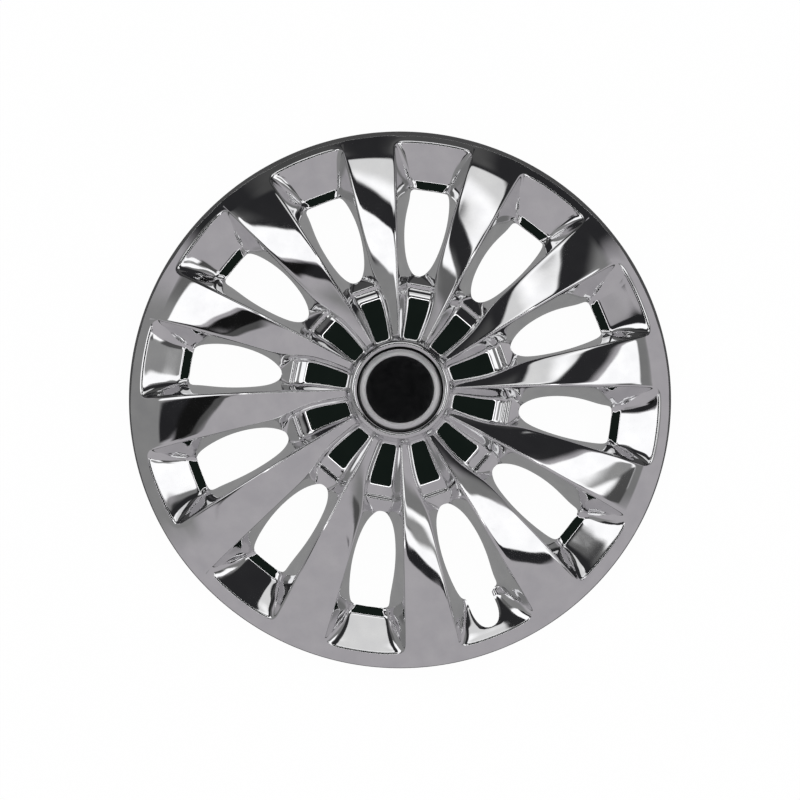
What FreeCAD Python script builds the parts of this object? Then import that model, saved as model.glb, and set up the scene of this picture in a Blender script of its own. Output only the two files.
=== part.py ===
"""Chrome wheel cover for a 15-inch car wheel, lying face up on its clip posts.

Millimetres and degrees. Heights are measured from the rim's back edge, which stands post_reach above
the floor. The crest of the first spoke lies along +X.
"""

import FreeCAD, Part
import math
import os
import Sketcher

sizes = {
    # Moulding: the rim, and the wall that all of the shell has. Cutting forms overshoot by the margin.
    "wall": 2.5,
    "rim_r": 200,
    "rim_lean": 45,
    "post_reach": 22,
    "sectors": 12,
    "margin": 4,
    # Crown: the arc that every spoke's crest follows from the hub until it rolls over to the rim.
    "crown_r": 78,
    "crown_h": 32,
    "roll_width": 24,
    "roll_h": 16.77,
    # Scoop: the sloped face from the rim's lip down to each window, with a small step at its toe.
    "lip_width": 9.4,
    "scoop_run": 25.6,
    "toe_h": -1.5,
    "step_run": 4,
    "ledge_run": 8,
    "ledge_h": -6,
    "sill_run": 3,
    "sill_rise": 6,
    # Cups: the hollows between the spokes round the hub, closed off by a low ridge.
    "ridge_r": 81,
    "ridge_h": 22.5,
    "ridge_foot": 4,
    "ridge_width": 2.5,
    "cup_r": 65,
    "cup_h": 16.5,
    # Hub ring and the seat of the badge inside it.
    "hub_bore_r": 31,
    "hub_ring": 6.5,
    "hub_h": 29.5,
    "hub_edge": 1.2,
    "seat_depth": 5,
    # Spokes: a straight crest on one side, and a face that twists down from it to a softer edge.
    "face_angle": 11.8,
    "neck_angle": 6.5,
    "hub_tilt": 42,
    "rim_tilt": 1,
    "twist_ease": 1.7,
    "draft": 24,
    "neck_r": 58,
    "shoulder_r": 92,
    "middle_r": 125,
    "outer_run": 5,
    "hollow_r": 76,
    # Windows: a leaf outline on the middle line of each pocket.
    "window_angle": 9.97,
    "window_land": 4.5,
    "window_tip": 9.5,
    "window_tip_lean": 25,
    "window_sweep": 120,
    "window_half": 14,
    "window_corner": 4,
    # Valve slot, in the scoop of one window.
    "valve_sector": 2,
    "valve_half": 9.75,
    "valve_land": 7.6,
    # Clip posts, and the wire ring that they hold.
    "post_inset": 24,
    "post_depth": 5,
    "post_width": 15,
    "post_chamfer": 2,
    "barb": 3,
    "barb_h": -14,
    "barb_land": 2,
    "gusset_width": 2.5,
    "gusset_run": 10,
    "wire_r": 1.6,
    "wire_h": -12,
    "wire_gap": 18,
    "wire_clearance": 0.1,
    # Badge: a satin cap with a bare disc let into it.
    "cap_gap": 1.9,
    "cap_depth": 4.5,
    "cap_edge": 1.6,
    "cap_rim": 4.4,
    "disc_depth": 1.4,
    "disc_edge": 0.5,
    "disc_recess": 0.2,
    "disc_clearance": 0.1,
}

doc = FreeCAD.newDocument("wheel_cover")
sheet = doc.addObject("Spreadsheet::Sheet", "Sizes")
for row, (name, value) in enumerate(sizes.items(), start=1):
    sheet.set(f"A{row}", name)
    sheet.set(f"B{row}", str(value))
    sheet.setAlias(f"B{row}", name)
doc.recompute()

# Solids are built down to a base below everything that shows.
BASE = "(Sizes.ledge_h - Sizes.margin)"
PITCH = "(360 / Sizes.sectors)"

# Radii inwards from the rim, outwards from the ridge and from the hub's bore, and heights at the hub.
ROLL_R = "(Sizes.rim_r - Sizes.roll_width)"
LIP_R = "(Sizes.rim_r - Sizes.lip_width)"
TOE_R = f"({LIP_R} - Sizes.scoop_run)"
LEDGE_R = f"({TOE_R} - Sizes.ledge_run)"
OUTER_R = f"({TOE_R} - Sizes.outer_run)"
VALVE_END_R = f"({LIP_R} - Sizes.valve_land)"
POST_R = "(Sizes.rim_r - Sizes.post_inset)"
GUSSET_R = f"({POST_R} - Sizes.gusset_run)"
WINDOW_IN_R = "(Sizes.ridge_r + Sizes.window_land)"
HUB_R = "(Sizes.hub_bore_r + Sizes.hub_ring)"
CAP_R = "(Sizes.hub_bore_r - Sizes.cap_gap)"
SEAT_H = "(Sizes.hub_h - Sizes.seat_depth)"
CAP_TOP_H = f"({SEAT_H} + Sizes.cap_depth)"

# The crown's arc is level at crown_r and comes down to roll_h where the rim's roll begins.
CROWN_DROP = "(Sizes.crown_h - Sizes.roll_h)"
CROWN_RUN = f"({ROLL_R} - Sizes.crown_r)"
CROWN_SWEEP = f"(({CROWN_RUN}^2 + {CROWN_DROP}^2) / 2 / {CROWN_DROP})"


def crown(radius):
    """Height of the crown's arc at a radius."""
    return f"(Sizes.crown_h - {CROWN_SWEEP} + sqrt({CROWN_SWEEP}^2 - ({radius} - Sizes.crown_r)^2))"


# The rim rolls over from the crown's slope to its own lean at the edge, on one arc.
ROLL_LEAN = f"asin({CROWN_RUN} / {CROWN_SWEEP})"
RIM_ROUND = f"(Sizes.roll_width / (sin(Sizes.rim_lean) - sin({ROLL_LEAN})))"
RIM_AXIS_R = f"({ROLL_R} - {RIM_ROUND} * sin({ROLL_LEAN}))"
RIM_AXIS_H = f"(Sizes.roll_h - {RIM_ROUND} * cos({ROLL_LEAN}))"


def rim_face(radius, inset):
    """Height of the rim's roll at a radius, or of the wall's back face at an inset."""
    return f"({RIM_AXIS_H} + sqrt(({RIM_ROUND} - {inset})^2 - ({radius} - {RIM_AXIS_R})^2))"


SCOOP_RISE = f"(({rim_face(LIP_R, '0')} - Sizes.toe_h) / Sizes.scoop_run)"


def scoop(radius):
    """Height of the scoop's cone at a radius."""
    return f"(Sizes.toe_h + ({radius} - {TOE_R}) * {SCOOP_RISE})"


def new_body(name):
    body = doc.addObject("PartDesign::Body", name)
    body.Label = name
    return body


def origin(body, role):
    """One of the body's own origin planes or axes."""
    return next(item for item in body.Origin.OriginFeatures if item.Role == role)


def arc_centre(start, end, radius, turn):
    """Centre of the arc that turns left (+1) or right (-1) from start to end."""
    run = end - start
    height = math.sqrt(max(radius ** 2 - (run.Length / 2) ** 2, 0))
    left = FreeCAD.Vector(-run.y, run.x, 0).normalize()
    return (start + end) / 2 + left * (turn * height)


def outline(body, name, plane, corners, along="0", turn_angle="0"):
    """A closed sketch through the corners, each bound to the sheet.

    A corner is (x, y), or (x, y, radius, turn) where an arc leads on to the next corner. On the upright
    planes y is the height above the rim's back edge, and turn_angle swings the plane round the axle.
    """
    sketch = body.newObject("Sketcher::SketchObject", name)
    sketch.AttachmentSupport = [(origin(body, plane), "")]
    sketch.MapMode = "FlatFace"
    upright = plane != "XY_Plane"
    swing = FreeCAD.Vector(0, 1, 0) if upright else FreeCAD.Vector(0, 0, 1)
    sketch.AttachmentOffset = FreeCAD.Placement(FreeCAD.Vector(), FreeCAD.Rotation(swing, 1))
    sketch.setExpression("AttachmentOffset.Rotation.Angle", turn_angle)
    sketch.setExpression("AttachmentOffset.Base.z", along)
    if upright:
        sketch.setExpression("AttachmentOffset.Base.y", "Sizes.post_reach")
    points = [FreeCAD.Vector(sketch.evalExpression(c[0]), sketch.evalExpression(c[1]), 0) for c in corners]
    ends = []
    for index, corner in enumerate(corners):
        start = points[index]
        end = points[(index + 1) % len(points)]
        if len(corner) == 2:
            sketch.addGeometry(Part.LineSegment(start, end))
            ends.append((1, 2))
            continue
        turn = corner[3]
        radius = sketch.evalExpression(corner[2])
        centre = arc_centre(start, end, radius, turn)
        first, last = (start, end) if turn > 0 else (end, start)
        angles = [math.atan2(p.y - centre.y, p.x - centre.x) for p in (first, last)]
        circle = Part.Circle(centre, FreeCAD.Vector(0, 0, 1), radius)
        sketch.addGeometry(Part.ArcOfCircle(circle, angles[0], angles[1]))
        ends.append((1, 2) if turn > 0 else (2, 1))
    for index, corner in enumerate(corners):
        following = (index + 1) % len(corners)
        meet = Sketcher.Constraint("Coincident", index, ends[index][1], following, ends[following][0])
        sketch.addConstraint(meet)
        for kind, expression in (("DistanceX", corner[0]), ("DistanceY", corner[1])):
            value = sketch.evalExpression(expression)
            number = sketch.addConstraint(Sketcher.Constraint(kind, -1, 1, index, ends[index][0], value))
            sketch.setExpression(f"Constraints[{number}]", expression)
        if len(corner) > 2:
            radius = sketch.evalExpression(corner[2])
            number = sketch.addConstraint(Sketcher.Constraint("Radius", index, radius))
            sketch.setExpression(f"Constraints[{number}]", corner[2])
    return sketch


def turned(body, kind, name, sketch, angle="360"):
    """A revolution or a groove of the sketch round the axle, half of it on each side of the sketch."""
    feature = body.newObject(f"PartDesign::{kind}", name)
    feature.Profile = sketch
    feature.ReferenceAxis = (sketch, ["V_Axis"])
    feature.Midplane = True
    feature.setExpression("Angle", angle)
    return feature


def plate(body, name, sketch, thickness):
    """A plate with the sketch's outline, half of it on each side of the sketch."""
    pad = body.newObject("PartDesign::Pad", name)
    pad.Profile = sketch
    pad.Midplane = True
    pad.setExpression("Length", thickness)
    return pad


def cut_down(body, name, sketch):
    """A cut straight down from the sketch through all of the moulding."""
    pocket = body.newObject("PartDesign::Pocket", name)
    pocket.Profile = sketch
    pocket.Type = "ThroughAll"
    return pocket


def round_the_axle(body, name, features, count, angle="360"):
    pattern = body.newObject("PartDesign::PolarPattern", name)
    pattern.Originals = features
    pattern.Axis = (origin(body, "Z_Axis"), [""])
    pattern.setExpression("Angle", angle)
    pattern.setExpression("Occurrences", count)
    body.Tip = pattern
    return pattern


def pocket_floor(drop):
    """The floor from the scoop's toe over the window's place to the ridge and the cup, lowered by drop."""
    sill_end = f"{LEDGE_R} - Sizes.sill_run"
    return [
        (TOE_R, f"Sizes.toe_h - {drop}"),
        (f"{TOE_R} - Sizes.step_run", f"Sizes.ledge_h - {drop}"),
        (sill_end, f"Sizes.ledge_h - {drop}"),
        (f"{sill_end} - Sizes.sill_rise", f"Sizes.ledge_h + Sizes.sill_rise - {drop}"),
        ("Sizes.ridge_r + Sizes.ridge_foot", f"Sizes.ridge_h - 2 * Sizes.ridge_foot - {drop}"),
        ("Sizes.ridge_r", f"Sizes.ridge_h - {drop}"),
        ("Sizes.ridge_r - Sizes.ridge_width", f"Sizes.ridge_h - {drop}"),
        ("Sizes.cup_r", f"Sizes.cup_h - {drop}"),
    ]


def spoke_section(body, name, station, angle, height, inset):
    """The spoke's section at a radius. The inset gives the hollow behind it, one wall inside the face."""
    width = f"({station} * tan({angle}))"
    inwards = f"(max(0; {LIP_R} - {station}) / ({LIP_R} - {HUB_R}))"
    tilt = f"(Sizes.rim_tilt + (Sizes.hub_tilt - Sizes.rim_tilt) * {inwards}^Sizes.twist_ease)"
    crest = f"({height} - {inset})"
    soft = f"({crest} - {width} * tan({tilt}))"
    foot = f"({BASE} + Sizes.wall - {inset})"
    side = f"({inset} / cos(Sizes.draft) - {inset} * tan(Sizes.draft))"
    corners = [
        (side, crest),
        (f"{width} - {side}", soft),
        (f"{width} - {side} + ({soft} - {foot}) * tan(Sizes.draft)", foot),
        (f"{side} - ({crest} - {foot}) * tan(Sizes.draft)", foot),
    ]
    return outline(body, name, "YZ_Plane", corners, along=station)


def spoke(body, name, stations, inset):
    """A loft through the spoke's sections, each given by its radius, its face's angle and its height."""
    sections = []
    for number, (station, angle, height) in enumerate(stations):
        sections.append(spoke_section(body, f"{name}_section_{number}", station, angle, height, inset))
    loft = body.newObject("PartDesign::AdditiveLoft", name)
    loft.Profile = sections[0]
    loft.Sections = sections[1:]
    return loft


# Cover, back side: the form of the hollow behind the moulding, one wall inside its face.
core = new_body("cover_core")
rim_back_r = "(Sizes.rim_r - Sizes.wall)"
core_profile = [
    ("0", f"{BASE} - Sizes.margin"),
    (rim_back_r, f"{BASE} - Sizes.margin"),
    (rim_back_r, rim_face(rim_back_r, "Sizes.wall")),
    (LIP_R, rim_face(LIP_R, "Sizes.wall")),
    *pocket_floor("Sizes.wall"),
    (HUB_R, "Sizes.cup_h - Sizes.wall"),
    (f"{HUB_R} - Sizes.wall", f"{SEAT_H} - Sizes.wall"),
    ("0", f"{SEAT_H} - Sizes.wall"),
]
turned(core, "Revolution", "core_dish", outline(core, "core_profile", "XZ_Plane", core_profile))
hollow_end_r = f"({LIP_R} - Sizes.wall)"
core_stations = [
    ("Sizes.hollow_r", "(Sizes.face_angle + Sizes.neck_angle) / 2", crown("Sizes.hollow_r")),
    ("Sizes.shoulder_r", "Sizes.face_angle", crown("Sizes.shoulder_r")),
    ("Sizes.middle_r", "Sizes.face_angle", crown("Sizes.middle_r")),
    (OUTER_R, "Sizes.face_angle", crown(OUTER_R)),
    (ROLL_R, "Sizes.face_angle", "Sizes.roll_h"),
    (hollow_end_r, "Sizes.face_angle", rim_face(hollow_end_r, "0")),
]
hollow = spoke(core, "spoke_hollow", core_stations, "Sizes.wall")
round_the_axle(core, "spoke_hollows", [hollow], "Sizes.sectors")

# Cover, face side: a dish with the scoops, cups and hub turned into it, and the spokes on top.
cover = new_body("cover")
dish_r = "(Sizes.rim_r + Sizes.margin)"
face_profile = [
    ("0", BASE),
    (dish_r, BASE),
    (dish_r, scoop(dish_r)),
    *pocket_floor("0"),
    (f"{HUB_R} + Sizes.hub_edge", "Sizes.cup_h"),
    (HUB_R, "Sizes.hub_h - Sizes.hub_edge"),
    (f"{HUB_R} - Sizes.hub_edge", "Sizes.hub_h"),
    ("Sizes.hub_bore_r + Sizes.hub_edge", "Sizes.hub_h"),
    ("Sizes.hub_bore_r", "Sizes.hub_h - Sizes.hub_edge"),
    ("Sizes.hub_bore_r", SEAT_H),
    ("0", SEAT_H),
]
turned(cover, "Revolution", "dish", outline(cover, "face_profile", "XZ_Plane", face_profile))
spoke_in_r = "(Sizes.hub_bore_r + Sizes.wall)"
spoke_out_r = "(Sizes.rim_r - Sizes.margin)"
face_stations = [
    (spoke_in_r, "Sizes.neck_angle", crown(spoke_in_r)),
    ("Sizes.neck_r", "Sizes.neck_angle", crown("Sizes.neck_r")),
    ("Sizes.shoulder_r", "Sizes.face_angle", crown("Sizes.shoulder_r")),
    ("Sizes.middle_r", "Sizes.face_angle", crown("Sizes.middle_r")),
    (OUTER_R, "Sizes.face_angle", crown(OUTER_R)),
    (spoke_out_r, "Sizes.face_angle", crown(spoke_out_r)),
]
first_spoke = spoke(cover, "spoke", face_stations, "0")
round_the_axle(cover, "spokes", [first_spoke], "Sizes.sectors")

# The rim's roll, turned on the outside of the dish and over the spokes' ends.
outside = [
    (ROLL_R, "Sizes.roll_h", RIM_ROUND, -1),
    ("Sizes.rim_r", rim_face("Sizes.rim_r", "0")),
    ("Sizes.rim_r", "0"),
    (f"{rim_back_r} - Sizes.wall", "0"),
    (f"{rim_back_r} - Sizes.wall", f"{BASE} - Sizes.margin"),
    (f"{dish_r} + Sizes.margin", f"{BASE} - Sizes.margin"),
    (f"{dish_r} + Sizes.margin", "Sizes.crown_h + Sizes.margin"),
    (ROLL_R, "Sizes.crown_h + Sizes.margin"),
]
rim_roll = turned(cover, "Groove", "rim_roll", outline(cover, "outside", "XZ_Plane", outside))

# The hollow back leaves an even wall.
hollow_back = cover.newObject("PartDesign::Boolean", "hollow_back")
hollow_back.Type = "Cut"
hollow_back.setObjects([core])
cover.Tip = hollow_back

# Windows, with a round inner tip, swept sides and small corners at the outer end.
tip_x = f"{WINDOW_IN_R} + Sizes.window_tip * (1 - sin(Sizes.window_tip_lean))"
tip_y = "Sizes.window_tip * cos(Sizes.window_tip_lean)"
corner_x = f"{LEDGE_R} - Sizes.window_corner"
end_half = "(Sizes.window_half - Sizes.window_corner)"
window_outline = [
    (WINDOW_IN_R, "0", "Sizes.window_tip", 1),
    (tip_x, f"0 - {tip_y}", "Sizes.window_sweep", 1),
    (corner_x, "0 - Sizes.window_half", "Sizes.window_corner", 1),
    (LEDGE_R, f"0 - {end_half}"),
    (LEDGE_R, end_half, "Sizes.window_corner", 1),
    (corner_x, "Sizes.window_half", "Sizes.window_sweep", 1),
    (tip_x, tip_y, "Sizes.window_tip", 1),
]
above_all = "Sizes.post_reach + Sizes.crown_h + Sizes.margin"
WINDOW_AXIS = "(0 - Sizes.window_angle)"
window_sketch = outline(cover, "window_outline", "XY_Plane", window_outline, above_all, WINDOW_AXIS)
window = cut_down(cover, "window", window_sketch)
round_the_axle(cover, "windows", [window], "Sizes.sectors")

# Valve slot: a round-ended slot from one window's outer edge into its scoop.
VALVE_AXIS = f"({WINDOW_AXIS} - Sizes.valve_sector * {PITCH})"
slot_start = f"{LEDGE_R} - Sizes.valve_half"
slot_end = f"{VALVE_END_R} - Sizes.valve_half"
valve_outline = [
    (slot_start, "0 - Sizes.valve_half"),
    (slot_end, "0 - Sizes.valve_half", "Sizes.valve_half", 1),
    (VALVE_END_R, "0", "Sizes.valve_half", 1),
    (slot_end, "Sizes.valve_half"),
    (slot_start, "Sizes.valve_half"),
]
valve_sketch = outline(cover, "valve_outline", "XY_Plane", valve_outline, above_all, VALVE_AXIS)
cover.Tip = cut_down(cover, "valve_slot", valve_sketch)

# Clip posts behind every scoop but the valve's, each with a barb for the wheel and a gusset.
FIRST_POST = f"({VALVE_AXIS} + {PITCH})"
post_out = f"({POST_R} + Sizes.post_depth)"
post_outline = [
    (POST_R, f"{scoop(POST_R)} - Sizes.wall / 2"),
    (POST_R, "Sizes.post_chamfer - Sizes.post_reach"),
    (f"{POST_R} + Sizes.post_chamfer", "0 - Sizes.post_reach"),
    (post_out, "0 - Sizes.post_reach"),
    (f"{post_out} + Sizes.barb", "Sizes.barb_h - Sizes.barb_land"),
    (f"{post_out} + Sizes.barb", "Sizes.barb_h"),
    (post_out, "Sizes.barb_h + Sizes.barb"),
    (post_out, f"{scoop(post_out)} - Sizes.wall / 2"),
]
post_sketch = outline(cover, "post_outline", "XZ_Plane", post_outline, turn_angle=FIRST_POST)
post = plate(cover, "post", post_sketch, "Sizes.post_width")
gusset_back_r = f"({POST_R} + Sizes.post_depth / 2)"
gusset_outline = [
    (gusset_back_r, f"{scoop(gusset_back_r)} - Sizes.wall / 2"),
    (GUSSET_R, f"{scoop(GUSSET_R)} - Sizes.wall / 2"),
    (GUSSET_R, f"{scoop(GUSSET_R)} - 2 * Sizes.wall"),
    (gusset_back_r, "Sizes.wire_h + 2 * Sizes.wire_r"),
]
gusset_sketch = outline(cover, "gusset_outline", "XZ_Plane", gusset_outline, turn_angle=FIRST_POST)
gusset = plate(cover, "gusset", gusset_sketch, "Sizes.gusset_width")
posts = round_the_axle(cover, "posts", [post, gusset], "Sizes.sectors - 1", f"360 - 2 * {PITCH}")


def wire_section(body, name, radius, turn_angle="0"):
    """The wire's section, an octagon round its centre that stands on a flat."""
    corners = []
    for number in range(8):
        turn = 22.5 + 45 * number
        reach = f"{radius} / cos(22.5)"
        corners.append((f"{POST_R} + {reach} * cos({turn})", f"Sizes.wire_h + {reach} * sin({turn})"))
    return outline(body, name, "XZ_Plane", corners, turn_angle=turn_angle)


# Groove across the posts' inner faces for the wire ring.
groove_sketch = wire_section(cover, "wire_groove_section", "(Sizes.wire_r + Sizes.wire_clearance)")
cover.Tip = turned(cover, "Groove", "wire_groove", groove_sketch)

# Retention ring: an open ring of spring wire, its gap over the valve.
retention_ring = new_body("retention_ring")
ring_sketch = wire_section(retention_ring, "wire_section", "Sizes.wire_r", f"{VALVE_AXIS} + 180")
turned(retention_ring, "Revolution", "wire", ring_sketch, "360 - Sizes.wire_gap")

# Badge cap: a shallow satin cup with a bevelled edge, seated on the floor of the hub.
badge_cap = new_body("badge_cap")
pocket_r = f"({CAP_R} - Sizes.cap_rim)"
disc_seat_h = f"({CAP_TOP_H} - Sizes.disc_depth)"
cap_outline = [
    ("0", SEAT_H),
    (CAP_R, SEAT_H),
    (CAP_R, f"{CAP_TOP_H} - Sizes.cap_edge"),
    (f"{CAP_R} - Sizes.cap_edge", CAP_TOP_H),
    (pocket_r, CAP_TOP_H),
    (pocket_r, disc_seat_h),
    ("0", disc_seat_h),
]
turned(badge_cap, "Revolution", "cap", outline(badge_cap, "cap_outline", "XZ_Plane", cap_outline))

# Badge disc: a plain gloss disc with a bevelled edge, let into the cap.
badge_disc = new_body("badge_disc")
disc_r = f"({pocket_r} - Sizes.disc_clearance)"
disc_top_h = f"({CAP_TOP_H} - Sizes.disc_recess)"
disc_outline = [
    ("0", disc_seat_h),
    (disc_r, disc_seat_h),
    (disc_r, f"{disc_top_h} - Sizes.disc_edge"),
    (f"{disc_r} - Sizes.disc_edge", disc_top_h),
    ("0", disc_top_h),
]
turned(badge_disc, "Revolution", "disc", outline(badge_disc, "disc_outline", "XZ_Plane", disc_outline))

doc.recompute()
for item in doc.Objects:
    if "Invalid" in item.State or "Error" in item.State:
        raise RuntimeError(f"{item.Name} failed: {item.State}")
nodes = [cover, retention_ring, badge_cap, badge_disc]
for node in nodes:
    if node.Shape.isNull() or not node.Shape.isValid():
        raise RuntimeError(f"{node.Label} has no valid shape")
os.makedirs("parts", exist_ok=True)
for node in nodes:
    node.Shape.exportStep(f"parts/{node.Label}.step")
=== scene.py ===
import math

import bmesh
import bpy
from mathutils import Matrix, Vector


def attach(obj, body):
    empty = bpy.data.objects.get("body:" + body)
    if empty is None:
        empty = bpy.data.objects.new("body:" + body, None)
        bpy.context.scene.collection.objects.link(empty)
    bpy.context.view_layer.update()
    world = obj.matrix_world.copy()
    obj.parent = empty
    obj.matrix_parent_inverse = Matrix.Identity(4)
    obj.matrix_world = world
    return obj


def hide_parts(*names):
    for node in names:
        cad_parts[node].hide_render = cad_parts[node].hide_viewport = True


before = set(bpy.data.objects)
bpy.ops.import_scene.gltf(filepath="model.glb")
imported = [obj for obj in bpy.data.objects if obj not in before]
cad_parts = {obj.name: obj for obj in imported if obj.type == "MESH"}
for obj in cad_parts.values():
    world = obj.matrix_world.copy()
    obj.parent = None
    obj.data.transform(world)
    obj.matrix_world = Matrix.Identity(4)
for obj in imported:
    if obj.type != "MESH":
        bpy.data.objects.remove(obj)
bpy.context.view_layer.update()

# Cover: one injection-moulded ABS shell with bright chrome on its face. The rim carries twelve spokes, whose
# faces twist down from a straight crest to a softer edge. Each pocket between two of them has a sloped scoop
# at the rim, a flat ledge, a window, a low ridge and a cup at the hub.
sectors = 12
pitch = 2 * math.pi / sectors
wall = 0.0025
seat_z = 0.022
rim_r = 0.200
rim_lean = math.radians(45)
crown_r = 0.078
crown_h = 0.032
crown_sweep = 0.323
roll_r = 0.176
lip_r = 0.1906
lip_corner = 0.0040
lip_side = 0.0007
toe_r = 0.165
toe_h = -0.0015
ledge_r = 0.157
ledge_h = -0.0022
ledge_half = 0.0125
ridge_h = 0.0172
cup_h = 0.0185
hub_r = 0.0368
hub_h = 0.0295
bore_r = 0.031
badge_seat_h = 0.0245

# The spokes' faces, their narrow necks at the hub, and how their two edges are rounded.
hub_twist = math.tan(math.radians(40))
twist_ease = 1.7
face_bulge = 0.05
face_angle = math.radians(11.8)
face_start_r = 0.096
face_margin = 0.0024
face_margin_share = 0.26
neck_angle = math.radians(6.5)
neck_end_r = 0.055
crest_round = 0.0010
crest_drop = 0.0017
edge_round = 0.0008
edge_drop = 0.0016
cup_edge_round = 0.0005
cup_edge_drop = 0.0012

# The walls of the pockets and cups. A wall beside a neck is steeper near the hub.
draft = math.tan(math.radians(24))
pocket_wall_run = 0.0034
cup_draft = math.tan(math.radians(7))
cup_wall_run = 0.0014
cup_floor_inset = 0.05
neck_wall_share = 0.45
neck_wall_r = 0.040
full_wall_r = 0.064

# The leaf-shaped windows, widest at a share of their length, and the valve's slot in one scoop.
window_axis = math.radians(9.97)
window_in_r = 0.0878
window_half_max = 0.016
window_widest = 0.66
window_narrowing = 0.16
tip_h = 0.0120
tip_half = 0.0026
tip_side_r = 0.0902
tip_spoke_r = 0.0905
valve_half = 0.00975
valve_end_r = 0.183
valve_end_half = 0.6 * valve_half
valve_sector = 2

roll_lean = math.asin((roll_r - crown_r) / crown_sweep)
rim_round = (rim_r - roll_r) / (math.sin(rim_lean) - math.sin(roll_lean))
rim_axis_r = roll_r - rim_round * math.sin(roll_lean)


def smooth(low, high, value):
    """Rises smoothly from 0 at low to 1 at high."""
    step = min(max((value - low) / (high - low), 0), 1)
    return step * step * (3 - 2 * step)


def crest_arc(r):
    """Height of the arc that the crests follow."""
    return crown_h - crown_sweep + math.sqrt(crown_sweep ** 2 - (r - crown_r) ** 2)


# The roll over the rim hangs from the end of the crests' arc, a hair inside roll_r.
hair = 1e-9
roll_axis_h = crest_arc(roll_r - hair) - rim_round * math.cos(roll_lean)


def crown(r):
    """Height of the crests' arc, and of the roll that carries on from it over the rim."""
    if r < roll_r:
        return crest_arc(r)
    return roll_axis_h + math.sqrt(rim_round ** 2 - (r - rim_axis_r) ** 2)


scoop_rise = (crown(lip_r) - toe_h) / (lip_r - toe_r)


def scoop(r):
    """Height of the scoop's slope."""
    return toe_h + (r - toe_r) * scoop_rise


def soft_edge(r):
    """Angle from a spoke's crest to the softer edge of its face."""
    return neck_angle + (face_angle - neck_angle) * smooth(neck_end_r, face_start_r, r)


def face_height(r, angle):
    """Height of the twisted face at an angle from its crest."""
    twist = hub_twist * (max(lip_r - r, 0) / (lip_r - hub_r)) ** twist_ease
    across = angle / soft_edge(r)
    bulge = face_bulge * r * soft_edge(r) * across * (1 - across)
    return crown(r) - r * math.sin(angle) * twist + bulge


def window_half(r):
    """Half width of the leaf-shaped window."""
    along = (r - window_in_r) / (ledge_r - window_in_r)
    if along < window_widest:
        return window_half_max * math.sqrt(1 - (1 - along / window_widest) ** 2)
    past_widest = (along - window_widest) / (1 - window_widest)
    return window_half_max * (1 - window_narrowing * past_widest ** 2)


def polar(r, angle, height):
    """A point by its radius, its angle round the axle and its height over the rim's seat."""
    return Vector((r * math.cos(angle), r * math.sin(angle), seat_z + height))


def spoke_row(r):
    """The face of a spoke from its crest to its soft edge."""
    width = soft_edge(r)
    margin = min(face_margin / r, face_margin_share * width)
    angles = (0, margin, width / 2, width - margin, width)
    return [polar(r, angle, face_height(r, angle)) for angle in angles]


def pocket_edges(spoke_r):
    """Angle and height of the last spoke's soft edge, and height of this spoke's crest."""
    return soft_edge(spoke_r) - pitch, face_height(spoke_r, soft_edge(spoke_r)), crown(spoke_r)


def between_spokes(spoke_r, across, soft_round, soft_drop):
    """A row from the last spoke's soft edge over the points across the pocket to this spoke's face."""
    last, last_h, crest_h = pocket_edges(spoke_r)
    row = [polar(spoke_r, last, last_h), polar(spoke_r, last + soft_round / spoke_r, last_h - soft_drop)]
    row += across
    row.append(polar(spoke_r, -crest_round / spoke_r, crest_h - crest_drop))
    return row + spoke_row(spoke_r)


def pocket_row(spoke_r, r, floor_h, middle):
    """Down the last spoke's wall, over the scoop or the ledge and up to this spoke's crest."""
    last, last_h, crest_h = pocket_edges(spoke_r)
    far = last + max((last_h - floor_h) * draft, pocket_wall_run) / r
    near = -max((crest_h - floor_h) * draft, pocket_wall_run) / r
    angles = (far, -window_axis - middle / r, -window_axis + middle / r, near)
    across = [polar(r, angle, floor_h) for angle in angles]
    return between_spokes(spoke_r, across, edge_round, edge_drop)


def cup_row(r, floor_h):
    """Across a cup, whose floor is wide and flat and rises close to the last spoke's soft edge."""
    last, last_h, crest_h = pocket_edges(r)
    far = last + max((last_h - floor_h) * cup_draft, cup_wall_run) / r
    near_share = neck_wall_share + (1 - neck_wall_share) * smooth(neck_wall_r, full_wall_r, r)
    near = -(crest_h - floor_h) * draft * near_share / r
    shares = (0, cup_floor_inset, 1 - cup_floor_inset, 1)
    across = [polar(r, far + share * (near - far), floor_h) for share in shares]
    return between_spokes(r, across, cup_edge_round, cup_edge_drop)


def window_row(spoke_r, r):
    """Across a window: each wall ends at the window's edge, at the depth that its draft gives there."""
    last, last_h, crest_h = pocket_edges(spoke_r)
    half = window_half(r) / r
    far_h = last_h - (-window_axis - half - last) * r / draft
    near_h = crest_h - (window_axis - half) * r / draft
    middle_h = (near_h + far_h) / 2
    points = ((-1, far_h), (-0.5, middle_h), (0.5, middle_h), (1, near_h))
    across = [polar(r, -window_axis + share * half, height) for share, height in points]
    return between_spokes(spoke_r, across, edge_round, edge_drop)


def tip_row():
    """The window's round inner tip."""
    row = window_row(tip_spoke_r, tip_side_r)
    side_half = window_half(tip_side_r)
    tip = [(tip_side_r, -side_half), (window_in_r, -tip_half)]
    tip += [(window_in_r, tip_half), (tip_side_r, side_half)]
    row[2:6] = [polar(r, -window_axis + off_axis / r, tip_h) for r, off_axis in tip]
    return row


def lip_row(corner_r):
    """The pocket's outer edge on the rim, with its corners drawn in towards the two spokes."""
    last = soft_edge(corner_r) - pitch
    half_r = (corner_r + 2 * lip_r) / 3
    row = [(corner_r, last), (half_r, last + lip_side / lip_r), (lip_r, last + lip_corner / lip_r)]
    row += [(lip_r, -window_axis + side * valve_half / lip_r) for side in (-1, 1)]
    row += [(lip_r, -lip_corner / lip_r), (half_r, -lip_side / lip_r)]
    return [polar(r, angle, crown(r)) for r, angle in row] + spoke_row(corner_r)


# Every row has these points: seven across the pocket, then five across the spoke's face.
row_points = 12
window_columns = (2, 3, 4)
slot_columns = (3, 4)


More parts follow.
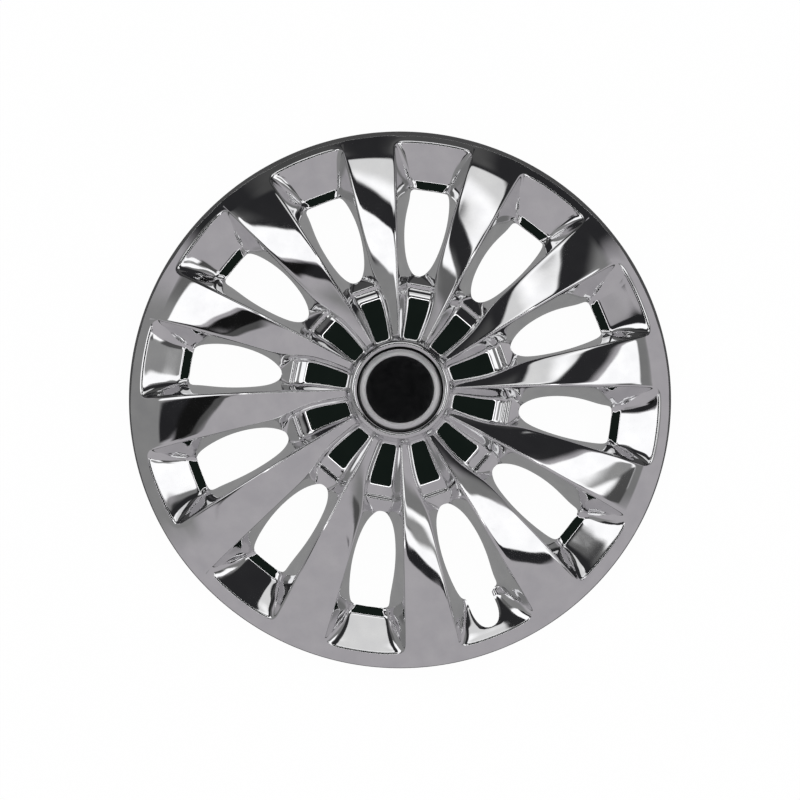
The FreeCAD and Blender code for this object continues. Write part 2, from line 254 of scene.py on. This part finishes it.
def rim_row(r, height):
    """A row of the rim, with its points spread evenly so that the rim stays round."""
    step = pitch / (row_points - 1)
    return [polar(r, face_angle - pitch + point * step, height) for point in range(row_points)]


def hub_row(r, height):
    """A row of the hub ring, in line with the necks of the spokes."""
    last = neck_angle - pitch
    beside_neck = 0.028
    floor_edge = 0.088
    floor_middle = 0.05
    angles = [last, last + beside_neck, last + floor_edge]
    angles += [-window_axis - floor_middle, -window_axis + floor_middle, -floor_edge, -beside_neck]
    angles += [share * neck_angle for share in (0, face_margin_share, 0.5, 1 - face_margin_share, 1)]
    return [polar(r, angle, height) for angle in angles]


def sector_rows(toe_half):
    """The sector's cage, row by row from the rim's back edge to the badge's seat."""
    return [
        rim_row(rim_r - 0.0004, 0),
        rim_row(rim_r, crown(rim_r) - 0.0003),
        rim_row(rim_r - 0.0002, crown(rim_r - 0.0002)),
        rim_row(rim_r - 0.0007, crown(rim_r - 0.0007)),
        rim_row(0.1965, crown(0.1965)),
        lip_row(0.1866),
        pocket_row(0.1848, 0.1884, scoop(0.1884) - 0.0006, valve_half),
        pocket_row(0.1785, 0.1815, scoop(0.1815), valve_half),
        pocket_row(0.1720, 0.1730, scoop(0.1730), valve_half),
        pocket_row(0.1668, 0.1660, scoop(0.1660), toe_half),
        pocket_row(0.1640, 0.1640, ledge_h + 0.0003, toe_half),
        pocket_row(0.1610, 0.1615, ledge_h, toe_half),
        pocket_row(0.1560, ledge_r, ledge_h, 0.0072),
        window_row(0.1490, 0.1500),
        window_row(0.1350, 0.1350),
        window_row(0.1190, 0.1190),
        window_row(0.1030, 0.1030),
        window_row(0.0960, 0.0945),
        tip_row(),
        cup_row(0.0828, ridge_h - 0.0010),
        cup_row(0.0812, ridge_h),
        cup_row(0.0796, ridge_h),
        cup_row(0.0782, ridge_h - 0.0018),
        cup_row(0.0740, cup_h - 0.0007),
        cup_row(0.0690, cup_h - 0.0001),
        cup_row(0.0640, cup_h),
        cup_row(0.0530, cup_h),
        cup_row(0.0420, cup_h),
        cup_row(0.0387, cup_h),
        hub_row(hub_r + 0.0003, cup_h + 0.0012),
        hub_row(hub_r, hub_h - 0.0022),
        hub_row(hub_r - 0.0010, hub_h - 0.0001),
        hub_row(hub_r - 0.0032, hub_h + 0.0009),
        hub_row(bore_r + 0.0011, hub_h + 0.0002),
        hub_row(bore_r, hub_h - 0.0010),
        hub_row(bore_r, badge_seat_h + 0.0004),
        hub_row(bore_r - 0.0006, badge_seat_h),
        hub_row(0.5 * bore_r, badge_seat_h),
        hub_row(0.03 * bore_r, badge_seat_h),
    ]


# Rows of that list where the slot ends, where the window meets the ledge, and the last one beside the window.
slot_row = 7
ledge_row = 12
window_last_row = 17


def sector_cage(with_slot):
    """One sector as a grid of faces without its window, and with the valve's slot where it is asked for."""
    rows = sector_rows(valve_half if with_slot else ledge_half)
    if with_slot:
        for column, side in zip(slot_columns, (-1, 1)):
            slot_angle = -window_axis + side * valve_end_half / valve_end_r
            ledge_angle = -window_axis + side * valve_half / ledge_r
            rows[slot_row][column] = polar(valve_end_r, slot_angle, scoop(valve_end_r))
            rows[ledge_row][column] = polar(ledge_r, ledge_angle, ledge_h)
    cage = bmesh.new()
    bmesh.ops.create_grid(cage, x_segments=row_points - 1, y_segments=len(rows) - 1, size=1)
    cage.verts.ensure_lookup_table()
    for number, vertex in enumerate(cage.verts):
        vertex.co = rows[number // row_points][number % row_points]
    cage.verts.index_update()
    open_faces = []
    for face in cage.faces:
        low = min(vertex.index for vertex in face.verts)
        row, column = divmod(low, row_points)
        in_window = ledge_row <= row <= window_last_row and column in window_columns
        in_slot = with_slot and slot_row <= row < ledge_row and column == slot_columns[0]
        if in_window or in_slot:
            open_faces.append(face)
    bmesh.ops.delete(cage, geom=open_faces, context="FACES")
    return cage


def turn_about_axle(cage, verts, angle):
    """Turns some of a cage's points about the axle."""
    bmesh.ops.rotate(cage, verts=verts, matrix=Matrix.Rotation(angle, 3, "Z"))


def repeat_round_axle(cage):
    """Copies a cage to the ten sectors after its own, which leaves out the valve's sector."""
    everything = cage.verts[:] + cage.edges[:] + cage.faces[:]
    bmesh.ops.spin(cage, geom=everything, cent=(0, 0, 0), axis=(0, 0, 1), angle=(sectors - 2) * pitch,
                   steps=sectors - 2, use_duplicate=True)


def into_scene(cage, name):
    """A finished cage as an object of the scene."""
    mesh = bpy.data.meshes.new(name)
    cage.to_mesh(mesh)
    cage.free()
    piece = bpy.data.objects.new(name, mesh)
    bpy.context.collection.objects.link(piece)
    return piece


def round_edges(piece, least_angle, width):
    """Rounds the sharp edges of a finished piece."""
    rounded = piece.modifiers.new("edges", "BEVEL")
    rounded.limit_method = "ANGLE"
    rounded.angle_limit = least_angle
    rounded.width = width
    rounded.segments = 2


cover_cage = sector_cage(False)
turn_about_axle(cover_cage, cover_cage.verts[:], (1 - valve_sector) * pitch)
repeat_round_axle(cover_cage)
slot_cage = sector_cage(True)
turn_about_axle(slot_cage, slot_cage.verts[:], -valve_sector * pitch)
slot_mesh = bpy.data.meshes.new("slot_sector")
slot_cage.to_mesh(slot_mesh)
slot_cage.free()
cover_cage.from_mesh(slot_mesh)
bpy.data.meshes.remove(slot_mesh)
bmesh.ops.remove_doubles(cover_cage, verts=cover_cage.verts[:], dist=1e-5)
bmesh.ops.recalc_face_normals(cover_cage, faces=cover_cage.faces[:])
for face in cover_cage.faces:
    face.smooth = True
cover = into_scene(cover_cage, "cover_moulding")
rounding = cover.modifiers.new("rounding", "SUBSURF")
rounding.levels = rounding.render_levels = 2
thickness = cover.modifiers.new("wall", "SOLIDIFY")
thickness.thickness = wall
thickness.offset = -1
back_skin = cover.vertex_groups.new(name="back_skin")
thickness.shell_vertex_group = back_skin.name
round_edges(cover, math.radians(55), 0.0004)
# The back is hidden on the wheel, so its skin has fewer faces. That keeps the piece under 200,000 triangles.
thinning = cover.modifiers.new("back_thinning", "DECIMATE")
thinning.ratio = 0.52
thinning.vertex_group = back_skin.name
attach(cover, "root")
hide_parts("cover")


def feed(tree, node, inputs):
    """Sets a shader node's inputs, each to a plain value or to what another node puts out."""
    for socket, value in inputs.items():
        if isinstance(value, bpy.types.NodeSocket):
            tree.links.new(value, node.inputs[socket])
        else:
            node.inputs[socket].default_value = value


def shading_node(tree, kind, inputs, **modes):
    """A new shader node with its modes and inputs set. A Mix of colours takes 0, 6 and 7 and puts out 2."""
    node = tree.nodes.new(kind)
    for mode, value in modes.items():
        setattr(node, mode, value)
    feed(tree, node, inputs)
    return node


# Mottle: the faint clouds in a plated or moulded surface, between two tones and from smooth to dull.
mottle = bpy.data.node_groups.new("mottle", "ShaderNodeTree")
mottle.interface.new_socket("Place", in_out="INPUT", socket_type="NodeSocketVector")
for given in ("Scale", "Detail", "Low", "High", "Smooth", "Dull"):
    mottle.interface.new_socket(given, in_out="INPUT", socket_type="NodeSocketFloat")
for given in ("Dark", "Light"):
    mottle.interface.new_socket(given, in_out="INPUT", socket_type="NodeSocketColor")
mottle.interface.new_socket("Tone", in_out="OUTPUT", socket_type="NodeSocketColor")
mottle.interface.new_socket("Roughness", in_out="OUTPUT", socket_type="NodeSocketFloat")
mottle_given = mottle.nodes.new("NodeGroupInput").outputs
mottle_cloud = shading_node(mottle, "ShaderNodeTexNoise", {
    "Vector": mottle_given["Place"],
    "Scale": mottle_given["Scale"],
    "Detail": mottle_given["Detail"],
})
mottle_spread = shading_node(mottle, "ShaderNodeMapRange", {
    "Value": mottle_cloud.outputs["Fac"],
    "From Min": mottle_given["Low"],
    "From Max": mottle_given["High"],
})
mottle_tone = shading_node(mottle, "ShaderNodeMix", {
    0: mottle_spread.outputs["Result"],
    6: mottle_given["Dark"],
    7: mottle_given["Light"],
}, data_type="RGBA")
mottle_dull = shading_node(mottle, "ShaderNodeMapRange", {
    "Value": mottle_cloud.outputs["Fac"],
    "From Min": mottle_given["Low"],
    "From Max": mottle_given["High"],
    "To Min": mottle_given["Smooth"],
    "To Max": mottle_given["Dull"],
}, clamp=False)
shading_node(mottle, "NodeGroupOutput", {
    "Tone": mottle_tone.outputs[2],
    "Roughness": mottle_dull.outputs["Result"],
})

chrome = bpy.data.materials.new("bright_chrome")
chrome.use_nodes = True
chrome_tree = chrome.node_tree
chrome_place = shading_node(chrome_tree, "ShaderNodeTexCoord", {}).outputs["Object"]
chrome_mottle = shading_node(chrome_tree, "ShaderNodeGroup", {
    "Place": chrome_place,
    "Scale": 70,
    "Detail": 7,
    "Low": 0.3,
    "High": 0.7,
    "Dark": (0.77, 0.77, 0.78, 1),
    "Light": (0.86, 0.86, 0.86, 1),
    "Smooth": 0.02,
    "Dull": 0.06,
}, node_tree=mottle)
# Sink marks left by the moulding, and the fine orange peel of the plating over them.
sink = shading_node(chrome_tree, "ShaderNodeTexNoise", {"Vector": chrome_place, "Scale": 34, "Detail": 1})
sink_bump = shading_node(chrome_tree, "ShaderNodeBump", {
    "Strength": 1,
    "Distance": 0.00012,
    "Height": sink.outputs["Fac"],
})
peel = shading_node(chrome_tree, "ShaderNodeTexNoise", {"Vector": chrome_place, "Scale": 420, "Detail": 2})
peel_bump = shading_node(chrome_tree, "ShaderNodeBump", {
    "Strength": 1,
    "Distance": 0.000002,
    "Height": peel.outputs["Fac"],
    "Normal": sink_bump.outputs["Normal"],
})
feed(chrome_tree, chrome_tree.nodes["Principled BSDF"], {
    "Metallic": 1,
    "Base Color": chrome_mottle.outputs["Tone"],
    "Roughness": chrome_mottle.outputs["Roughness"],
    "Normal": peel_bump.outputs["Normal"],
})
cover.data.materials.append(chrome)

# Clip posts: eleven tongues moulded on the back of the cover behind its scoops, each with a barb for the
# wheel, a groove for the wire and a gusset. They are part of the same chromed moulding.
post_in_r = 0.176
post_out_r = 0.181
post_reach = seat_z
post_width = 0.015
post_chamfer = 0.002
post_edge = 0.0004
barb = 0.003
barb_h = -0.014
barb_flat = 0.002
wire_h = -0.012
wire_r = 0.0016
groove_r = wire_r + 0.0001
groove_steps = 4
gusset_r = 0.166
gusset_back_r = 0.1785
gusset_width = 0.0025


def swept_plate(cage, outline, sweep, steps):
    """A flat outline of (radius, height) points, swept round the axle to both sides of +X."""
    verts = [cage.verts.new((r, 0, seat_z + height)) for r, height in outline]
    face = cage.faces.new(verts)
    turn_about_axle(cage, verts, -sweep / 2)
    plate = verts + face.edges[:] + [face]
    bmesh.ops.spin(cage, geom=plate, cent=(0, 0, 0), axis=(0, 0, 1), angle=sweep, steps=steps)


post_outline = [(post_in_r, scoop(post_in_r) - wall / 2)]
for step in range(groove_steps + 1):
    turn = math.radians(90 - 180 * step / groove_steps)
    post_outline.append((post_in_r + groove_r * math.cos(turn), wire_h + groove_r * math.sin(turn)))
post_outline += [
    (post_in_r, post_chamfer - post_reach),
    (post_in_r + post_chamfer, -post_reach),
    (post_out_r, -post_reach),
    (post_out_r + barb, barb_h - barb_flat),
    (post_out_r + barb, barb_h),
    (post_out_r, barb_h + barb),
    (post_out_r, scoop(post_out_r) - wall / 2),
]
gusset_outline = [
    (gusset_back_r, scoop(gusset_back_r) - wall / 2),
    (gusset_r, scoop(gusset_r) - wall / 2),
    (gusset_r, scoop(gusset_r) - 2 * wall),
    (gusset_back_r, wire_h + 2 * wire_r),
]
post_cage = bmesh.new()
swept_plate(post_cage, post_outline, post_width / post_in_r, 4)
swept_plate(post_cage, gusset_outline, gusset_width / post_in_r, 1)
bmesh.ops.recalc_face_normals(post_cage, faces=post_cage.faces[:])
sharp = [edge for edge in post_cage.edges if edge.calc_face_angle(0) > math.radians(30)]
bmesh.ops.bevel(post_cage, geom=sharp, offset=post_edge, segments=2, profile=0.5, affect="EDGES", material=-1)
valve_axis = -window_axis - valve_sector * pitch
turn_about_axle(post_cage, post_cage.verts[:], valve_axis + pitch)
repeat_round_axle(post_cage)
posts = into_scene(post_cage, "clip_posts")
posts.data.materials.append(chrome)
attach(posts, "root")
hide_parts("cover")

# Retention ring: an open ring of zinc-plated spring wire, pressed into the grooves of the clip posts. Its
# gap leaves room for the tyre's valve.
wire_gap = math.radians(18)
wire_cage = bmesh.new()
bmesh.ops.create_circle(wire_cage, cap_ends=True, segments=20, radius=wire_r)
bmesh.ops.rotate(wire_cage, verts=wire_cage.verts[:], matrix=Matrix.Rotation(math.pi / 2, 3, "X"))
bmesh.ops.translate(wire_cage, verts=wire_cage.verts[:], vec=(post_in_r, 0, seat_z + wire_h))
turn_about_axle(wire_cage, wire_cage.verts[:], valve_axis + wire_gap / 2)
wire_end = wire_cage.verts[:] + wire_cage.edges[:] + wire_cage.faces[:]
bmesh.ops.spin(wire_cage, geom=wire_end, cent=(0, 0, 0), axis=(0, 0, 1), angle=2 * math.pi - wire_gap,
               steps=144)
bmesh.ops.recalc_face_normals(wire_cage, faces=wire_cage.faces[:])
for face in wire_cage.faces:
    face.smooth = len(face.verts) == 4
wire = into_scene(wire_cage, "spring_wire")
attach(wire, "root")
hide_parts("retention_ring")

zinc = bpy.data.materials.new("zinc_plated_wire")
zinc.use_nodes = True
zinc_tree = zinc.node_tree
zinc_mottle = shading_node(zinc_tree, "ShaderNodeGroup", {
    "Place": shading_node(zinc_tree, "ShaderNodeTexCoord", {}).outputs["Object"],
    "Scale": 260,
    "Detail": 6,
    "Low": 0.3,
    "High": 0.7,
    "Dark": (0.36, 0.37, 0.39, 1),
    "Light": (0.60, 0.60, 0.61, 1),
    "Smooth": 0.28,
    "Dull": 0.36,
}, node_tree=mottle)
feed(zinc_tree, zinc_tree.nodes["Principled BSDF"], {
    "Metallic": 1,
    "Base Color": zinc_mottle.outputs["Tone"],
    "Roughness": zinc_mottle.outputs["Roughness"],
})
wire.data.materials.append(zinc)

# Badge cap: a turned cup with a domed rim, which is painted satin silver. Below the paint it is black: bare
# black moulding, and also painted shade for the gap round the cap. It is pressed on to the floor of the hub
# ring and carries the badge disc.
cap_r = 0.0291
cap_top_h = 0.029
cap_edge_h = cap_top_h - 0.0016
cap_paint_and_shade_fade = 0.0003
disc_r = 0.0246
disc_seat_h = cap_top_h - 0.0014
disc_clearance = 0.0001


def turned_piece(name, outline):
    """A closed piece turned from a chain of (radius, height) points that starts and ends on the axle."""
    cage = bmesh.new()
    chain = [cage.verts.new((r, 0, seat_z + height)) for r, height in outline]
    chain_edges = [cage.edges.new(pair) for pair in zip(chain, chain[1:])]
    bmesh.ops.spin(cage, geom=chain + chain_edges, cent=(0, 0, 0), axis=(0, 0, 1), angle=2 * math.pi,
                   steps=128, use_merge=True)
    bmesh.ops.remove_doubles(cage, verts=cage.verts[:], dist=1e-6)
    bmesh.ops.recalc_face_normals(cage, faces=cage.faces[:])
    for face in cage.faces:
        face.smooth = True
    piece = into_scene(cage, name)
    round_edges(piece, math.radians(20), 0.00012)
    return piece


cap = turned_piece("badge_cap_turned", [
    (0, badge_seat_h),
    (cap_r, badge_seat_h),
    (cap_r, cap_edge_h),
    (cap_r - 0.0004, cap_top_h - 0.0011),
    (cap_r - 0.0012, cap_top_h - 0.0007),
    (cap_r - 0.0022, cap_top_h - 0.00035),
    (cap_r - 0.0032, cap_top_h - 0.0001),
    (disc_r + disc_clearance, cap_top_h),
    (disc_r + disc_clearance, disc_seat_h),
    (0, disc_seat_h),
])
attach(cap, "root")
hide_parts("badge_cap")

satin = bpy.data.materials.new("satin_silver")
satin.use_nodes = True
satin_tree = satin.node_tree
satin_place = shading_node(satin_tree, "ShaderNodeTexCoord", {}).outputs["Object"]
satin_split = shading_node(satin_tree, "ShaderNodeSeparateXYZ", {"Vector": satin_place})
satin_flat = shading_node(satin_tree, "ShaderNodeCombineXYZ", {
    "X": satin_split.outputs["X"],
    "Y": satin_split.outputs["Y"],
})
satin_radius = shading_node(satin_tree, "ShaderNodeVectorMath", {0: satin_flat.outputs["Vector"]},
                            operation="LENGTH")
satin_lines = shading_node(satin_tree, "ShaderNodeTexNoise", {
    "W": satin_radius.outputs["Value"],
    "Scale": 9000,
    "Detail": 3,
}, noise_dimensions="1D")
satin_tone = shading_node(satin_tree, "ShaderNodeValToRGB", {"Fac": satin_lines.outputs["Fac"]})
for stop, position, grey in zip(satin_tone.color_ramp.elements, (0.25, 0.75), (0.86, 0.96)):
    stop.position = position
    stop.color = (grey, grey, grey, 1)
# Below the paint line the cap is black: bare moulding, and also painted shade for the dark gap round the cap.
paint_edge_and_gap_shade = shading_node(satin_tree, "ShaderNodeMapRange", {
    "Value": satin_split.outputs["Z"],
    "From Min": seat_z + cap_edge_h - cap_paint_and_shade_fade,
    "From Max": seat_z + cap_edge_h,
})
silver_and_gap_shade = shading_node(satin_tree, "ShaderNodeMix", {
    0: paint_edge_and_gap_shade.outputs["Result"],
    6: (0.008, 0.008, 0.008, 1),
    7: satin_tone.outputs["Color"],
}, data_type="RGBA")
satin_dull = shading_node(satin_tree, "ShaderNodeMapRange", {
    "Value": satin_lines.outputs["Fac"],
    "To Min": 0.30,
    "To Max": 0.44,
})
satin_bump = shading_node(satin_tree, "ShaderNodeBump", {
    "Strength": 0.15,
    "Distance": 0.00005,
    "Height": satin_lines.outputs["Fac"],
})
feed(satin_tree, satin_tree.nodes["Principled BSDF"], {
    "Metallic": 0.6,
    "Base Color": silver_and_gap_shade.outputs[2],
    "Roughness": satin_dull.outputs["Result"],
    "Normal": satin_bump.outputs["Normal"],
})
cap.data.materials.append(satin)

# Badge disc: a bare disc of gloss black plastic with a low crown. It is let into the cap, and its edge lies
# just below the cap's rim.
disc_edge_h = cap_top_h - 0.0003
disc = turned_piece("badge_disc_turned", [
    (0, disc_seat_h),
    (disc_r, disc_seat_h),
    (disc_r, disc_edge_h - 0.0003),
    (disc_r - 0.0004, disc_edge_h),
    (0.6 * disc_r, disc_edge_h + 0.00015),
    (0.3 * disc_r, disc_edge_h + 0.00022),
    (0, disc_edge_h + 0.00025),
])
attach(disc, "root")
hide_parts("badge_disc")

gloss = bpy.data.materials.new("gloss_black")
gloss.use_nodes = True
gloss_tree = gloss.node_tree
gloss_mottle = shading_node(gloss_tree, "ShaderNodeGroup", {
    "Place": shading_node(gloss_tree, "ShaderNodeTexCoord", {}).outputs["Object"],
    "Scale": 180,
    "Detail": 8,
    "Low": 0.35,
    "High": 0.75,
    "Dark": (0.009, 0.009, 0.010, 1),
    "Light": (0.018, 0.018, 0.019, 1),
    "Smooth": 0.115,
    "Dull": 0.155,
}, node_tree=mottle)
feed(gloss_tree, gloss_tree.nodes["Principled BSDF"], {
    "Base Color": gloss_mottle.outputs["Tone"],
    "Roughness": gloss_mottle.outputs["Roughness"],
    "Coat Weight": 0.4,
    "Coat Roughness": 0.05,
})
disc.data.materials.append(gloss)

# Floor: plain and pale, and keeps the cover's shadow. The chrome mirrors it too, with painted shade: dim
# under the cover and dark close round it. Distances are counted in radii of the rim.
floor_half = 6
shade_start = 0.9
shade_dark = (1.2, 18)
shade_end = 30
floor_cage = bmesh.new()
bmesh.ops.create_grid(floor_cage, x_segments=1, y_segments=1, size=floor_half)
floor = into_scene(floor_cage, "floor")


def math_node(tree, operation, first, second=0):
    """What a Math node puts out for other nodes' values or plain numbers."""
    return shading_node(tree, "ShaderNodeMath", {0: first, 1: second}, operation=operation).outputs[0]


pale = bpy.data.materials.new("pale_floor")
pale.use_nodes = True
pale_tree = pale.node_tree
pale_tree.nodes.remove(pale_tree.nodes["Principled BSDF"])
floor_place = shading_node(pale_tree, "ShaderNodeTexCoord", {}).outputs["Object"]
from_axle = shading_node(pale_tree, "ShaderNodeVectorMath", {0: floor_place}, operation="LENGTH")
shade_reach = shading_node(pale_tree, "ShaderNodeMapRange", {
    "Value": from_axle.outputs["Value"],
    "From Max": shade_end * rim_r,
})
# Painted shade, seen only in the chrome: dim under the cover, dark round it, then pale again far out.
shade = shading_node(pale_tree, "ShaderNodeValToRGB", {"Fac": shade_reach.outputs["Result"]})
shade.color_ramp.elements[0].position = shade_start / shade_end
shade.color_ramp.elements[0].color = (0.28, 0.28, 0.28, 1)
shade.color_ramp.elements[1].color = (1, 1, 1, 1)
for rims_out in shade_dark:
    dark_stop = shade.color_ramp.elements.new(rims_out / shade_end)
    dark_stop.color = (0.05, 0.05, 0.05, 1)
ray = shading_node(pale_tree, "ShaderNodeLightPath", {}).outputs
mirrored = math_node(pale_tree, "MAXIMUM", ray["Is Glossy Ray"], ray["Is Transmission Ray"])
shaded = math_node(pale_tree, "MULTIPLY", mirrored, shade.outputs["Color"])
seen = math_node(pale_tree, "MAXIMUM", ray["Is Camera Ray"], shaded)
brightness = math_node(pale_tree, "MULTIPLY", seen, 0.97)
glow = shading_node(pale_tree, "ShaderNodeEmission", {"Strength": brightness})
paint = shading_node(pale_tree, "ShaderNodeBsdfDiffuse", {"Color": (0.07, 0.07, 0.07, 1)})
both = shading_node(pale_tree, "ShaderNodeAddShader", {0: paint.outputs[0], 1: glow.outputs[0]})
feed(pale_tree, pale_tree.nodes["Material Output"], {"Surface": both.outputs[0]})
floor.data.materials.append(pale)

# Light tent: a grey room with white cards round the far side of the cover, dark gaps between them and a dark
# opening overhead with a ring lamp round it. The camera itself sees plain white behind the floor. Angles are
# in degrees, the tilt from straight up and the bearing from +X towards +Y.
world = bpy.data.worlds.new("light_tent")
bpy.context.scene.world = world
world.use_nodes = True
sky = world.node_tree
direction = shading_node(sky, "ShaderNodeTexCoord", {}).outputs["Generated"]
toward = shading_node(sky, "ShaderNodeSeparateXYZ", {0: direction}).outputs
degrees = 180 / math.pi
tilt = math_node(sky, "MULTIPLY", math_node(sky, "ARCCOSINE", toward["Z"]), degrees)
bearing = math_node(sky, "MULTIPLY", math_node(sky, "ARCTAN2", toward["Y"], toward["X"]), degrees)


def tent_edge(value, off, on):
    """A soft edge: 0 where the value is at off and 1 where it is at on."""
    rising = off < on
    return shading_node(sky, "ShaderNodeMapRange", {
        "Value": value,
        "From Min": min(off, on),
        "From Max": max(off, on),
        "To Min": 0 if rising else 1,
        "To Max": 1 if rising else 0,
    }, interpolation_type="SMOOTHSTEP").outputs["Result"]


def layer(below, colour, mask):
    """One layer of the tent over those before it."""
    mixed = shading_node(sky, "ShaderNodeMix", {0: mask, 6: below, 7: (*colour, 1)}, data_type="RGBA")
    return mixed.outputs[2]


def card(below, colour, bearings, tilts, soft):
    """A card between two bearings and two tilts, with a soft edge."""
    centre = sum(bearings) / 2
    half = (bearings[1] - bearings[0]) / 2
    off_centre = math_node(sky, "SUBTRACT", bearing, centre)
    wrapped = shading_node(sky, "ShaderNodeMath", {0: off_centre, 1: 180, 2: -180}, operation="WRAP")
    across = tent_edge(math_node(sky, "ABSOLUTE", wrapped.outputs[0]), half + soft, half - soft)
    inner = tent_edge(tilt, tilts[0] - soft, tilts[0] + soft)
    outer = tent_edge(tilt, tilts[1] + soft, tilts[1] - soft)
    return layer(below, colour, math_node(sky, "MULTIPLY", across, math_node(sky, "MULTIPLY", inner, outer)))


room = (0.42, 0.405, 0.425)
dark = (0.020, 0.020, 0.022)
white = (1.20, 1.20, 1.21)
cards = [
    ((0.024, 0.024, 0.026), (40, 136), (22, 97), 4),
    ((0.08, 0.08, 0.08), (71, 90), (56, 97), 3),
    ((0.07, 0.07, 0.07), (101, 119), (56, 97), 3),
    ((0.21, 0.21, 0.21), (-20, 44), (40, 58), 5),
    ((0.14, 0.14, 0.14), (128, 152), (40, 60), 4),
    ((0.25, 0.25, 0.25), (148, 204), (40, 97), 6),
    (dark, (168, 185), (28, 43), 2),
    ((0.08, 0.08, 0.08), (192, 207), (20, 28), 2),
    ((0.008, 0.008, 0.008), (171, 196), (22, 31), 1.5),
    (white, (132, 166), (24, 46), 1.2),
    ((0.76, 0.76, 0.76), (67, 109), (33, 51), 1.2),
    (white, (67, 109), (34, 40), 3),
    (white, (-13, 35), (22, 45), 1.2),
    ((0.30, 0.30, 0.30), (-4, 9), (30, 41), 2),
    ((0.08, 0.08, 0.08), (-19, -2), (35, 45), 1.2),
    (dark, (-26, -11), (20, 27.5), 1.2),
]
tent = (*room, 1)
for colour, bearings, tilts, soft in cards:
    tent = card(tent, colour, bearings, tilts, soft)

# The opening is round, its centre a little towards +Y. Its radius and the lamp's are shares of the sky's.
opening_y = 0.14
off_x = math_node(sky, "POWER", toward["X"], 2)
off_y = math_node(sky, "POWER", math_node(sky, "SUBTRACT", toward["Y"], opening_y), 2)
off_opening = math_node(sky, "SQRT", math_node(sky, "ADD", off_x, off_y))
tent = layer(tent, (0.008, 0.012, 0.010), tent_edge(off_opening, 0.295, 0.275))
lamp_inside = tent_edge(off_opening, 0.272, 0.280)
lamp_outside = tent_edge(off_opening, 0.310, 0.300)
tent = layer(tent, (2.4, 2.4, 2.4), math_node(sky, "MULTIPLY", lamp_inside, lamp_outside))
sky_ray = shading_node(sky, "ShaderNodeLightPath", {}).outputs
tent = layer(tent, (0.97, 0.97, 0.97), sky_ray["Is Camera Ray"])
feed(sky, sky.nodes["Background"], {"Color": tent})

# Camera: almost straight down on the face, from a little below its middle in the picture, with the top of
# the picture turned a little from +Y. The rim takes up the stated pixels of the picture's width.
view_distance = 1.40
view_elevation = math.radians(82)
picture_side = 800
rim_in_picture = 542
picture_turn = math.radians(1.3)
picture_up = Vector((math.sin(picture_turn), math.cos(picture_turn), 0))
aim_back = 0.0038
aim = Vector((0, 0, seat_z)) - aim_back * picture_up
toward_eye = math.sin(view_elevation) * Vector((0, 0, 1)) - math.cos(view_elevation) * picture_up
eye = aim + view_distance * toward_eye
look = (aim - eye).normalized()
right = look.cross(picture_up).normalized()
up = right.cross(look)
lens = bpy.data.cameras.new("camera")
lens.sensor_width = 36
lens.lens = lens.sensor_width * view_distance / (2 * rim_r * picture_side / rim_in_picture)
camera = bpy.data.objects.new("camera", lens)
camera.matrix_world = Matrix.Translation(eye) @ Matrix((right, up, -look)).transposed().to_4x4()
bpy.context.collection.objects.link(camera)
bpy.context.scene.camera = camera

bpy.context.scene.view_settings.view_transform = "Standard"
